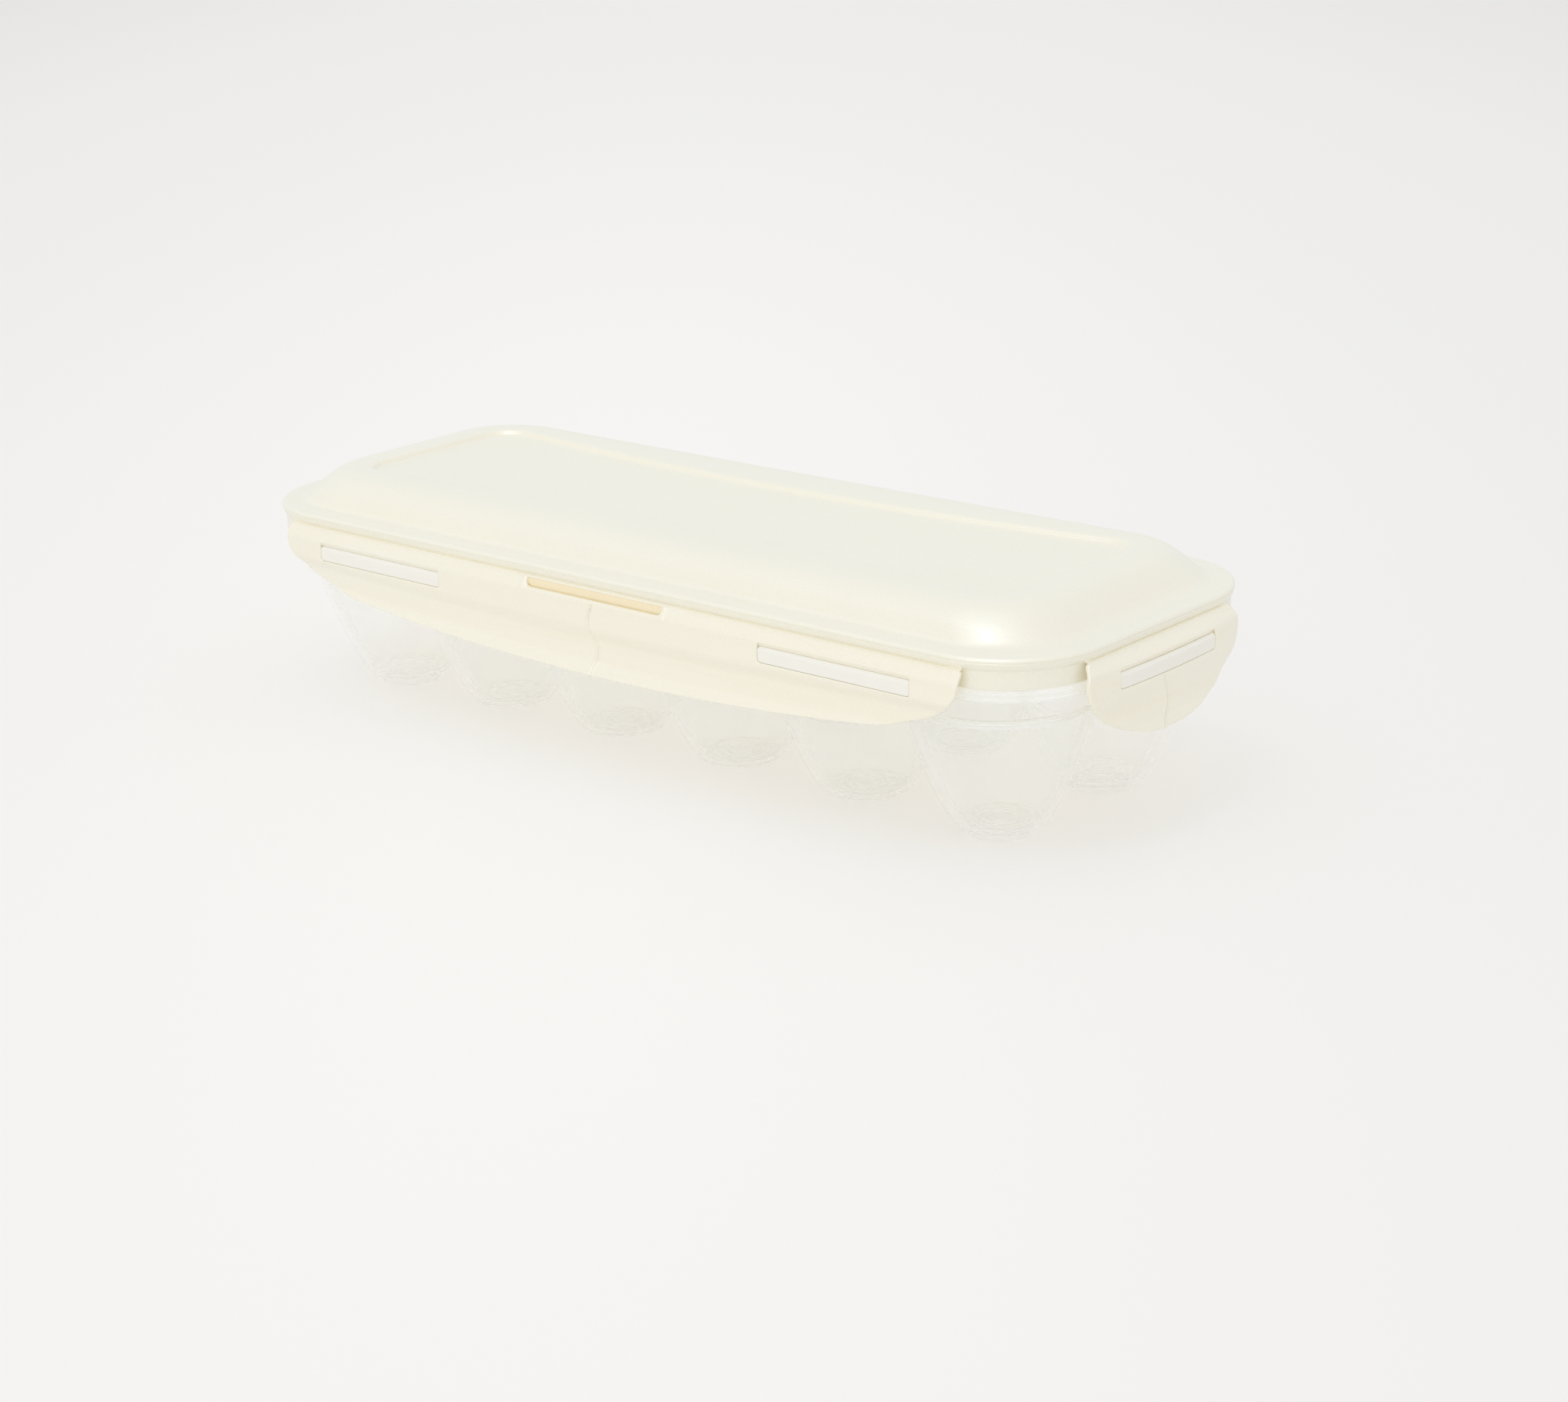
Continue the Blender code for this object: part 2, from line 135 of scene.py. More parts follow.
# Outlines: rounded rectangles sampled at fixed stations, so that any two can be bridged

def stations(arc, long_x, end_y):
    """Places round a rounded rectangle, as arrays of quadrant, on-side flag and share."""
    places = []
    for q in range(4):
        places += [(q, 0, t) for t in arc]
        half = long_x if q % 2 == 0 else end_y
        both = sorted(set([-v for v in half] + list(half)), reverse=True)
        places += [(q, 1, (1 - v) / 2) for v in both if abs(v) < 1]
    q, side, t = zip(*places)
    return np.array(q), np.array(side, bool), np.array(t, float)


def outline(places, a, b, r, z, waist=0.0, push=0.0):
    """Points of a rounded rectangle. A waist draws in the long sides; a push moves outwards."""
    q, side, t = places
    angle = math.pi / 2 * (q + np.where(side, 1.0, t))
    centre = CORNERS[q] * (a - r, b - r)
    other = CORNERS[(q + 1) % 4] * (a - r, b - r)
    share = np.where(side, t, 0.0)[:, None]
    normal = np.stack([np.cos(angle), np.sin(angle)], 1)
    flat = centre + (other - centre) * share + normal * (r + np.asarray(push))[..., None]
    pull = waist * np.clip(1 - (flat[:, 0] / (a - r)) ** 2, 0, None)
    flat[:, 1] -= np.sign(flat[:, 1]) * pull
    return np.column_stack([flat, np.full(len(flat), z)])


def grown(r, z, fillet=0.3, waist=0.0):
    """Profile key for the core rectangle grown by r."""
    return (CORE_X + r, CORE_Y + r, r, z, waist, fillet)


FINE = stations(np.linspace(0, 1, 25), np.linspace(0, 1, 31), np.linspace(0, 1, 7))


def loops(keys, places=FINE):
    """Loops of points for a softened profile of (a, b, r, z, waist, fillet) keys."""
    return [outline(places, *row) for row in soften(keys)]


# Materials. Each plastic's low and high colours are the ends of its slow change of tone.

CLEAR_TINT = (0.988, 0.992, 0.99, 1.0)
MILK = (0.985, 0.988, 0.982, 1.0)
CREAM_LOW = (0.895, 0.848, 0.690)
CREAM_HIGH = (0.902, 0.858, 0.705)
# The two colours below are painted shade: a deep warm yellow for the dim light that reaches the lid's wall in
# a hinge slot through layers of cream plastic.
SLOT_SHADE_LOW = (0.93, 0.765, 0.445)
SLOT_SHADE_HIGH = (0.94, 0.785, 0.475)
# The flaps' two colours below are the lid's cream made lighter and warmer: painted light for the front light
# that the flaps catch.
FLAP_LIT_LOW = (0.925, 0.850, 0.665)
FLAP_LIT_HIGH = (0.935, 0.880, 0.725)
# The colour below is a painted sheen, mixed into the cream where a surface is seen edge on.
SHEEN_WHITE = (0.900, 0.915, 0.850, 1.0)
GLOW = (1.0, 0.89, 0.68, 1.0)
MICA = (0.90, 0.95, 0.98, 1.0)


def node(tree, kind, links=(), **values):
    """Add a shader node; values set its properties or inputs, links join its inputs."""
    made = tree.nodes.new(kind)
    for key, value in values.items():
        if hasattr(made, key):
            setattr(made, key, value)
        else:
            made.inputs[key.replace("_", " ")].default_value = value
    for target, source in links:
        tree.links.new(source, made.inputs[target])
    return made


def start_material(name):
    """An empty node material with its output, Principled shader and object coordinates."""
    material = bpy.data.materials.new(name)
    material.use_nodes = True
    tree = material.node_tree
    shader = tree.nodes["Principled BSDF"]
    place = node(tree, "ShaderNodeTexCoord").outputs["Object"]
    return material, tree, shader, place


def ramp(tree, source, stops):
    """A colour ramp driven by source."""
    made = node(tree, "ShaderNodeValToRGB", [("Fac", source)])
    elements = made.color_ramp.elements
    while len(elements) < len(stops):
        elements.new(0.5)
    for element, (position, color) in zip(elements, stops):
        element.position = position
        element.color = color if len(color) == 4 else (*color, 1.0)
    return made.outputs["Color"]


def grey(value):
    return (value, value, value, 1.0)


def let_through(tree, shader, color, share):
    """Lets a share of the lamps' light pass, as thin translucent walls do."""
    output = next(n for n in tree.nodes if n.type == "OUTPUT_MATERIAL")
    open_way = node(tree, "ShaderNodeBsdfTransparent", Color=color)
    part = node(tree, "ShaderNodeMixShader", [(1, shader.outputs[0]), (2, open_way.outputs[0])], Fac=share)
    rays = node(tree, "ShaderNodeLightPath")
    whole = node(tree, "ShaderNodeMixShader",
                 [(0, rays.outputs["Is Shadow Ray"]), (1, shader.outputs[0]), (2, part.outputs[0])])
    tree.links.new(whole.outputs[0], output.inputs["Surface"])


def cream_plastic(name, low, high, flow, open_share=0.8):
    """Pearly cream polypropylene: fine mica specks, flow clouds, a satin gloss and a soft white sheen, partly
    a glossy layer and partly painted into the colour where a surface is seen edge on.
    """
    material, tree, shader, place = start_material(name)
    streams = node(tree, "ShaderNodeMapping", [("Vector", place)], Scale=flow)
    clouds = node(tree, "ShaderNodeTexNoise", [("Vector", streams.outputs[0])], Scale=1.0, Detail=3.0)
    specks = node(tree, "ShaderNodeTexNoise", [("Vector", place)], Scale=2600.0, Detail=2.0)
    grain = node(tree, "ShaderNodeTexVoronoi", [("Vector", place)], Scale=1900.0)
    cream = ramp(tree, clouds.outputs["Fac"], [(0.3, low), (0.7, high)])
    light = ramp(tree, specks.outputs["Fac"], [(0.35, grey(0.955)), (0.62, grey(1.0))])
    mixed = node(tree, "ShaderNodeMix", data_type="RGBA", blend_type="MULTIPLY")
    mixed.inputs[0].default_value = 1.0
    tree.links.new(cream, mixed.inputs[6])
    tree.links.new(light, mixed.inputs[7])
    # Painted sheen: the colour turns toward a pale greenish white where a surface is seen edge on.
    facing = node(tree, "ShaderNodeLayerWeight", Blend=0.35)
    pearl = node(tree, "ShaderNodeMix", data_type="RGBA", blend_type="MIX")
    pearl.inputs[7].default_value = SHEEN_WHITE
    rim = ramp(tree, facing.outputs["Facing"], [(0.1, grey(0.0)), (0.95, grey(0.35))])
    tree.links.new(rim, pearl.inputs[0])
    tree.links.new(mixed.outputs[2], pearl.inputs[6])
    tree.links.new(pearl.outputs[2], shader.inputs["Base Color"])
    rough = ramp(tree, specks.outputs["Fac"], [(0.3, grey(0.42)), (0.7, grey(0.30))])
    tree.links.new(rough, shader.inputs["Roughness"])
    bump = node(tree, "ShaderNodeBump", [("Height", grain.outputs["Distance"])], Strength=0.05)
    bump.inputs["Distance"].default_value = 0.0001
    tree.links.new(bump.outputs["Normal"], shader.inputs["Normal"])
    shader.inputs["IOR"].default_value = 1.49
    mica = node(tree, "ShaderNodeBsdfGlossy", [("Normal", bump.outputs["Normal"])],
                Color=MICA, Roughness=0.36)
    pearly = node(tree, "ShaderNodeMixShader", [(1, shader.outputs[0]), (2, mica.outputs[0])], Fac=0.22)
    let_through(tree, pearly, GLOW, open_share)
    return material


def clear_plastic(name, milkiness):
    """Clear polypropylene as thin walls: see-through, glossy, and milky where seen edge on."""
    material, tree, shader, place = start_material(name)
    tree.nodes.remove(shader)
    haze = node(tree, "ShaderNodeTexNoise", [("Vector", place)], Scale=55.0, Detail=4.0)
    ripple = node(tree, "ShaderNodeTexNoise", [("Vector", place)], Scale=140.0, Detail=2.0)
    bump = node(tree, "ShaderNodeBump", [("Height", ripple.outputs["Fac"])], Strength=0.12)
    bump.inputs["Distance"].default_value = 0.0004
    rough = ramp(tree, haze.outputs["Fac"], [(0.35, grey(0.05)), (0.7, grey(0.13))])
    normal = bump.outputs["Normal"]
    see = node(tree, "ShaderNodeBsdfRefraction", Color=CLEAR_TINT, Roughness=0.0, IOR=1.0)
    milk = node(tree, "ShaderNodeBsdfDiffuse", [("Normal", normal)], Color=MILK)
    glow = node(tree, "ShaderNodeBsdfTranslucent", [("Normal", normal)], Color=MILK)
    soft = node(tree, "ShaderNodeMixShader", [(1, milk.outputs[0]), (2, glow.outputs[0])], Fac=0.3)
    facing = node(tree, "ShaderNodeLayerWeight", Blend=0.5)
    edge = ramp(tree, facing.outputs["Facing"], [(at, grey(share)) for at, share in milkiness])
    body = node(tree, "ShaderNodeMixShader", [(0, edge), (1, see.outputs[0]), (2, soft.outputs[0])])
    gloss = node(tree, "ShaderNodeBsdfGlossy", [("Roughness", rough), ("Normal", normal)], Color=(1, 1, 1, 1))
    fresnel = node(tree, "ShaderNodeFresnel", [("Normal", normal)], IOR=1.5)
    shine = ramp(tree, fresnel.outputs[0], [(0.0, grey(0.0)), (0.3, grey(0.26)), (1.0, grey(0.42))])
    outside = node(tree, "ShaderNodeMixShader", [(0, shine), (1, body.outputs[0]), (2, gloss.outputs[0])])
    through = node(tree, "ShaderNodeBsdfTransparent", Color=(1, 1, 1, 1))
    side = node(tree, "ShaderNodeNewGeometry")
    wall = node(tree, "ShaderNodeMixShader",
                [(0, side.outputs["Backfacing"]), (1, outside.outputs[0]), (2, through.outputs[0])])
    passed = node(tree, "ShaderNodeBsdfTransparent", Color=CLEAR_TINT)
    rays = node(tree, "ShaderNodeLightPath")
    whole = node(tree, "ShaderNodeMixShader",
                 [(0, rays.outputs["Is Shadow Ray"]), (1, wall.outputs[0]), (2, passed.outputs[0])])
    output = next(n for n in tree.nodes if n.type == "OUTPUT_MATERIAL")
    tree.links.new(whole.outputs[0], output.inputs["Surface"])
    return material


def milky_plastic():
    """The same clear polypropylene where it is thick: milky, faintly see-through and satin."""
    material, tree, shader, place = start_material("clear_plastic_thick")
    haze = node(tree, "ShaderNodeTexNoise", [("Vector", place)], Scale=220.0, Detail=3.0)
    tone = ramp(tree, haze.outputs["Fac"], [(0.3, (0.866, 0.850, 0.782)), (0.7, (0.872, 0.857, 0.795))])
    rough = ramp(tree, haze.outputs["Fac"], [(0.3, grey(0.34)), (0.7, grey(0.40))])
    tree.links.new(tone, shader.inputs["Base Color"])
    tree.links.new(rough, shader.inputs["Roughness"])
    let_through(tree, shader, CLEAR_TINT, 0.8)
    return material


def silicone():
    """Soft translucent white rubber."""
    material, tree, shader, place = start_material("seal_silicone")
    dust = node(tree, "ShaderNodeTexNoise", [("Vector", place)], Scale=400.0, Detail=3.0)
    tone = ramp(tree, dust.outputs["Fac"], [(0.3, (0.80, 0.81, 0.79)), (0.7, (0.88, 0.885, 0.87))])
    rough = ramp(tree, dust.outputs["Fac"], [(0.3, grey(0.5)), (0.7, grey(0.65))])
    tree.links.new(tone, shader.inputs["Base Color"])
    tree.links.new(rough, shader.inputs["Roughness"])
    shader.inputs["Subsurface Weight"].default_value = 0.5
    shader.inputs["Subsurface Scale"].default_value = 0.002
    return material


# Tray: one continuous clear moulding

def smooth_min(low, high, size):
    """The lower of two heights, with their crossing rounded over size."""
    over = np.clip(size - np.abs(low - high), 0, None)
    return np.minimum(low, high) - over ** 2 / (4 * size)


def bowl_heights(x, y, wall):
    """The lowest four bowl surfaces over each point, lowest first."""
    centres = [(PITCH * (i - 2.5), side * ROW_Y) for i in range(6) for side in (-1, 1)]
    heights = []
    for cx, cy in centres:
        square = (x - cx) ** 2 + (y - cy) ** 2
        steep = 2 * RISE * np.sqrt(square)
        heights.append(FLOOR_Z + RISE * (square - FLOOR_R ** 2) + wall * np.hypot(1, steep))
    return np.sort(np.array(heights), axis=0)[:4]


def tray_surface(x, y, inside):
    """Height of the tray's underside or inside over each point."""
    wall, ridge, edge, cove = (WALL, 7.0, 2.2, 1.6) if inside else (0.0, 1.4, 1.0, 0.8)
    first, second, third, fourth = bowl_heights(x, y, wall)
    height = smooth_min(smooth_min(first, second, ridge), smooth_min(third, fourth, ridge), ridge)
    height = smooth_min(height, DECK_Z + wall, edge)
    return -smooth_min(-height, np.full_like(height, -FLOOR_Z - wall), cove)


ARC = np.linspace(0, 1, 15)
LONG_STOPS = (0.0, 45.6, 91.2, LEDGE_A - LEDGE_R)
# Extra places along the rim, near the ends of the locking tabs.
TAB_X, TAB_Y = (62.0, 62.5, 109.8, 110.3), (19.2, 19.7)


def stops_between(marks, extra, step):
    """Even places between marks, with a few extra places put in."""
    places = list(extra)
    for low, high in zip(marks, marks[1:]):
        count = max(1, round((high - low) / step))
        places += [low + (high - low) * k / count for k in range(count + 1)]
    kept = []
    for place in sorted(places):
        fixed = place in extra or any(abs(place - mark) < 1e-9 for mark in marks)
        if kept and place - kept[-1] < 0.3 and not fixed:
            continue
        if kept and place - kept[-1] < 0.3 and kept[-1] not in extra and kept[-1] not in marks:
            kept[-1] = place
        elif not kept or place - kept[-1] > 1e-9:
            kept.append(place)
    return np.array(kept)


LONG = stops_between(LONG_STOPS, TAB_X, 2.4)
END = stops_between((0.0, LEDGE_B - LEDGE_R), TAB_Y, 2.4)
MIDDLE_LINE = stops_between((0.0, 45.6, 91.2, LEDGE_A), (), 2.4)
CROSS_LINE = stops_between((0.0, LEDGE_B), (), 2.4)
RIM = stations(ARC, LONG / (LEDGE_A - LEDGE_R), END / (LEDGE_B - LEDGE_R))


def between(values, low, high):
    return values[(values > low - 1e-6) & (values < high + 1e-6)]


def cell_boundary(index):
    """Points round one cup's cell in the positive quadrant; cup 2 is at the end."""
    left, right = PITCH * index, PITCH * (index + 1)
    if index < 2:
        bottom = [(x, 0.0) for x in between(MIDDLE_LINE, left, right)]
        up = [(right, y) for y in CROSS_LINE]
        top = [(x, LEDGE_B) for x in between(LONG, left, right)[::-1]]
    else:
        bottom = [(x, 0.0) for x in between(MIDDLE_LINE, left, LEDGE_A)]
        up = [(LEDGE_A, y) for y in END]
        centre = (LEDGE_A - LEDGE_R, LEDGE_B - LEDGE_R)
        angles = [math.pi / 2 * t for t in ARC]
        up += [(centre[0] + LEDGE_R * math.cos(v), centre[1] + LEDGE_R * math.sin(v)) for v in angles]
        top = [(x, LEDGE_B) for x in between(LONG, left, LEDGE_A - LEDGE_R)[::-1]]
    down = [(left, y) for y in CROSS_LINE[::-1]]
    path = []
    for point in bottom + up + top + down:
        if not path or math.dist(point, path[-1]) > 1e-6:
            path.append(point)
    return np.array(path[:-1])


# Radii of the rings of points over a cup; two fine ribs and the foot's step are marked on its floor.
INNER_RINGS = (
    0.6, 2.2, 3.0, 3.3, 3.6, 4.6, 5.3, 5.6, 5.9, 6.8, 7.5, 7.9, 8.5, 8.9, 10.0, 11.0, 11.8, 12.6,
    13.8, 15.4, 17.2, 19.0, 20.6,
)
FINE_RIBS, FINE_RIB = (3.3, 5.6), 0.09
FOOT_STEP, FOOT_MARK = (7.7, 8.7), 0.16
OUTER_SHARES = (0.14, 0.28, 0.42, 0.55, 0.67, 0.78, 0.86, 0.93, 1.0)
FOOT_INDEX = 2
FOOT = (
    (0.6, 2.5), (2.6, 2.5), (4.8, 2.5), (6.6, 2.5), (7.2, 2.35), (7.45, 1.9), (7.6, 0.35),
    (7.75, 0.06), (7.95, 0.0), (8.3, 0.0), (8.5, 0.06), (8.62, 0.3), (8.9, 1.9), (9.05, 2.6),
    (9.4, 2.93), (10.0, 3.0),
)


def cell_rows(index, inside):
    """Rings of points over one cup, from its middle out to its cell's edge."""
    edge = cell_boundary(index)
    centre = np.array([PITCH * (index + 0.5), ROW_Y])
    ray = edge - centre
    reach = np.hypot(ray[:, 0], ray[:, 1])[:, None]
    heading = ray / reach
    rows = []
    foot = index == FOOT_INDEX and not inside
    rings = [ring for ring in INNER_RINGS if not foot or ring > FOOT[-1][0] + 0.1]
    if foot:
        for r, z in FOOT:
            flat = centre + heading * r
            rows.append(np.column_stack([flat, np.full(len(flat), z)]))
    for r in rings:
        flat = centre + heading * r
        z = tray_surface(flat[:, 0], flat[:, 1], inside)
        mark = FOOT_MARK if FOOT_STEP[0] < r < FOOT_STEP[1] else FINE_RIB if r in FINE_RIBS else 0.0
        rows.append(np.column_stack([flat, z + (mark if inside else -mark)]))
    for share in OUTER_SHARES:
        flat = centre + heading * (rings[-1] + (reach - rings[-1]) * share)
        z = tray_surface(flat[:, 0], flat[:, 1], inside)
        rows.append(np.column_stack([flat, z]))
    return rows


def rim_rows():
    """Loops of the tray's rim, from the deck's underside over the lip to its inside."""
    first = outline(RIM, LEDGE_A, LEDGE_B, LEDGE_R, 0.0)
    last = first.copy()
    first[:, 2] = tray_surface(first[:, 0], first[:, 1], False)
    last[:, 2] = tray_surface(last[:, 0], last[:, 1], True)
    keys = [
        (140.2, 49.7, 22.9, 38.45, 0.0, 0.0),
        (141.0, 50.4, 23.5, 38.6, 0.0, 0.5),
        (141.0, 50.4, 23.5, 39.3, 0.0, 0.25),
        (140.6, 50.1, 23.2, 39.5, 0.0, 0.2),
        (140.9, 50.3, 23.4, 39.9, 0.0, 0.25),
        (142.0, 50.7, 24.2, 41.2, 0.0, 0.6),
        (145.9, 52.2, 25.8, 46.1, 0.0, 0.6),
        (146.6, 52.8, 26.5, 46.35, 0.0, 0.3),
        (147.05, 53.25, 26.95, 46.5, 0.0, 0.2),
        (147.05, 53.25, 26.95, 47.15, 0.0, 0.2),
        (146.7, 52.9, 26.6, 47.35, 0.0, 0.15),
        (146.7, 52.9, 26.6, 47.75, 0.0, 0.15),
        (147.05, 53.25, 26.95, 47.95, 0.0, 0.2),
        (147.05, 53.25, 26.95, 48.75, 0.0, 0.2),
        (146.75, 52.95, 26.65, 48.95, 0.0, 0.15),
        (146.75, 52.95, 26.65, 49.2, 0.0, 0.1),
        (146.95, 53.15, 26.85, 49.4, 0.0, 0.1),
        (146.8, 53.0, 26.7, 49.65, 0.0, 0.2),
        (144.8, 51.0, 24.7, 49.7, 0.0, 0.4),
        (144.7, 50.9, 24.6, 54.1, 0.0, 0.4),
        (143.5, 49.7, 23.4, 54.1, 0.0, 0.4),
        (143.5, 49.7, 23.4, 49.3, 0.0, 0.8),
        (144.5, 50.9, 24.3, 47.6, 0.0, 1.2),
        (140.6, 49.5, 22.8, 40.9, 0.0, 1.5),
        (140.1, 49.3, 22.5, 39.75, 0.0, 0.0),
    ]
    return [first] + [outline(RIM, *row) for row in soften(keys, 4)] + [last]


BANDS = {
    "rim_bands": [
        (26.75, 46.3), (27.2, 46.45), (27.25, 47.15), (26.95, 47.35), (26.95, 47.75), (27.3, 47.95),
        (27.3, 48.75), (26.95, 48.95), (26.95, 49.25), (27.15, 49.4), (27.05, 49.75), (26.75, 49.75),
    ],
    "deck_rib_low": [(23.2, 38.6), (23.2, 38.0), (23.6, 37.9), (23.85, 38.3), (23.7, 38.6)],
    "deck_rib_high": [(23.4, 39.0), (23.75, 39.0), (23.85, 39.25), (23.75, 39.5), (23.4, 39.5)],
}


def make_bands(material):
    """The fine milky ribs that run round the tray's rim and round its deck."""
    for name, profile in BANDS.items():
        keys = []
        for r, z in profile + profile[:1]:
            level = grown(r, z, 0.12)
            if name != "rim_bands":
                level = (DECK_X + r, DECK_Y + r, r, z, 0.0, 0.1)
            keys.append(level)
        ring = sweep(name, loops(keys)[:-1], material, closed=True)
        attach(ring, "tray")


def make_tray(material):
    """The clear tray: cups, deck and rim in one closed skin."""
    points, faces = [], []
    total = 0
    for index in range(3):
        for inside in (False, True):
            rows = cell_rows(index, inside)
            count = len(rows[0])
            for sx in (1, -1):
                for sy in (1, -1):
                    flipped = np.concatenate(rows) * (sx, sy, 1)
                    points.append(flipped)
                    faces += bridge(rows, total)
                    faces.append(tuple(range(total, total + count)))
                    total += len(flipped)
    rows = rim_rows()
    faces += bridge(rows, total)
    points.append(np.concatenate(rows))
    tray = make_object("clear_tray", np.concatenate(points), faces, material, 50.0, 0.004)
    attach(tray, "tray")
    nodes = [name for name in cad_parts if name.startswith("cup_")]
    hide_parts("tray_frame", *nodes)


# Lid. The long sides of its ridge and panel draw in by WAIST at the middle.

WAIST = 7.0


def make_lid(material):
    """The lid's shell: skirt, bead, ledge, dome, ridge and recessed panel."""
    under = [
        (40.0, 12.0, 2.0, 64.6, 0.0, 0.0),
        (118.6, 27.4, 6.8, 64.6, WAIST, 1.0),
        (122.0, 30.4, 9.0, 64.7, WAIST, 1.0),
        (123.2, 31.8, 10.5, 65.9, 6.0, 1.0),
        (128.6, 35.8, 14.6, 66.1, 1.5, 2.0),
        (132.4, 39.9, 18.4, 64.7, 0.0, 3.0),
        (136.0, 43.2, 20.2, 61.4, 0.0, 3.0),
        (139.0, 45.4, 20.6, 58.2, 0.0, 1.0),
        grown(20.4, 57.0, 0.6),
        grown(20.6, 53.0, 0.3),
        grown(21.5, 53.0, 0.3),
        grown(21.6, 56.4, 0.4),
        grown(25.7, 56.4, 0.4),
        grown(25.7, 50.0, 0.25),
    ]
    outer = [
        grown(27.5, 50.0, 0.35),
        grown(27.5, 54.9, 0.15),
        grown(27.75, 55.15, 0.2),
        grown(28.05, 55.5, 0.3),
        grown(28.4, 56.5, 0.4),
        grown(28.45, 56.95, 0.1),
        grown(28.3, 57.1, 0.1),
        grown(28.55, 57.35, 0.3),
        grown(28.45, 57.8, 0.3),
        grown(27.9, 58.35, 0.5),
        grown(26.6, 58.5, 0.6),
        grown(25.2, 58.75, 0.8),
        grown(23.2, 58.8, 0.6),
        (142.1, 48.6, 22.2, 58.9, 0.0, 0.8),
        (140.6, 47.8, 22.4, 59.6, 0.0, 1.2),
        (138.9, 46.9, 22.4, 61.2, 0.0, 1.8),
        (136.4, 45.3, 22.4, 63.8, 0.0, 2.4),
        (133.2, 41.6, 20.6, 66.6, 0.2, 3.2),
        (129.4, 37.0, 16.8, 67.72, 1.0, 3.6),
        (123.4, 31.6, 10.6, 67.7, 6.4, 2.2),
        (122.0, 30.3, 9.4, 67.35, WAIST, 0.6),
        (121.2, 29.6, 8.8, 66.2, WAIST, 0.6),
        (119.6, 28.2, 7.4, 66.0, WAIST, 0.8),
        (100.0, 24.0, 5.0, 66.0, WAIST, 0.0),
        (40.0, 12.0, 2.0, 66.0, 0.0, 0.0),
    ]
    lid = sweep("lid_shell", loops(under + outer), material, caps=(True, True))
    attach(lid, "lid")
    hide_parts("lid")


def make_gate_mark(material):
    """The small round mark that the moulding gate leaves in the middle of the panel."""
    turns = np.linspace(0, 2 * math.pi, 25)[:-1]
    circle = np.column_stack([np.cos(turns), np.sin(turns)])
    profile = [
        (1.5, 65.9), (1.45, 66.02), (1.3, 66.1), (1.05, 66.1), (0.8, 66.03), (0.4, 66.0), (0.25, 66.12),
        (0.1, 66.16),
    ]
    rows = [np.column_stack([circle * r, np.full(len(circle), z)]) for r, z in profile]
    mark = sweep("gate_mark", rows, material, caps=(True, True))
    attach(mark, "lid")


def make_seal(material):
    """The soft ring that fills the lid's channel above the tray's lip."""
    keys = [
        grown(22.1, 54.9, 0.0),
        grown(22.0, 56.2, 0.3),
        grown(25.3, 56.2, 0.3),
        grown(25.3, 54.9, 0.3),
        grown(24.9, 54.5, 0.3),
        grown(24.0, 54.8, 0.4),
        grown(23.1, 54.5, 0.3),
        grown(22.1, 54.9, 0.0),
    ]
    ring = sweep("seal_ring", loops(keys)[:-1], material, closed=True)
    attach(ring, "lid")
    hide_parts("seal")


# Flaps

def ease(t):
    t = np.clip(t, 0, 1)
    return t * t * (3 - 2 * t)


def follow(knots, z):
    """Values at heights z on a curve eased between (height, value) knots, highest first."""
    z = np.asarray(z, float)
    value = np.full_like(z, knots[-1][1])
    for (z1, v1), (z0, v0) in reversed(list(zip(knots, knots[1:]))):
        value = np.where(z >= z0, v0 + (v1 - v0) * ease((z - z0) / (z1 - z0)), value)
    return value


# Height of a flap's outer face, from its hinge down, and its distance from the lid's middle.
SIDE_FACE = ((54.8, 55.5), (51.0, 57.2), (45.0, 57.4), (39.5, 55.7), (35.0, 55.7), (30.6, 57.8))
END_FACE = ((54.8, 149.2), (51.5, 150.5), (44.5, 150.4), (38.5, 149.3), (35.5, 149.9), (31.0, 150.9))
FLAP_THICK, FLAP_EDGE = 1.2, 0.32
FLAP_TOP, SIDE_BOTTOM = 54.7, 30.7
# Locking slots, and the slot in a side flap's hinge with the parts that close it from behind.
SLOT_LOW, SLOT_HIGH = 45.8, 51.2
SIDE_SLOT, END_SLOT = (60.7, 111.6), 21.5
HINGE_SLOT, HINGE_SLOT_LOW = 25.7, 52.1
LIP_REACH, WEB_REACH = 25.95, 27.2
LEDGE_PAST = 0.1
# Where the hinge films start and stop along the flaps.
SIDE_FILM, END_FILM = (25.9, 126.0), 31.5


def side_low(x):
    """Lower edge of a side flap."""
    return SIDE_BOTTOM + 0.00053 * np.asarray(x, float) ** 2


def side_depth(x, z):
    """Depth of a side flap's outer face; its bottom curl follows the lower edge."""
    lifted = np.asarray(z) - (side_low(x) - SIDE_BOTTOM) * ease((51 - np.asarray(z)) / 14) * 0.6
    return follow(SIDE_FACE, lifted) + 0.25 * flow_line(x, z, 0.9) + 0.3 * slot_ends(x, z)


def end_depth(y, z):
    """Depth of an end flap's outer face, crowned in plan."""
    crown = 1.9 * (1 - (np.asarray(y) / 33.6) ** 2) * ease((54.7 - np.asarray(z)) / 6)
    return follow(END_FACE, z) + crown + 0.2 * flow_line(np.asarray(y) - 2.0, z, 1.6) * (np.asarray(z) < 45)


def slot_ends(x, z):
    """Small raised lips round the ends of the hinge slot."""
    return np.exp(-((np.abs(x) - 26.7) / 0.55) ** 2) * ease((np.asarray(z) - 50.6) / 1.2)


def flow_line(x, z, sway):
    """A fine wavy groove with raised edges where two melt fronts met."""
    away = np.asarray(x) - sway * np.sin(np.asarray(z) * 0.42 + 1.1)
    return np.exp(-((np.abs(away) - 0.55) / 0.3) ** 2) - 0.8 * np.exp(-(away / 0.25) ** 2)


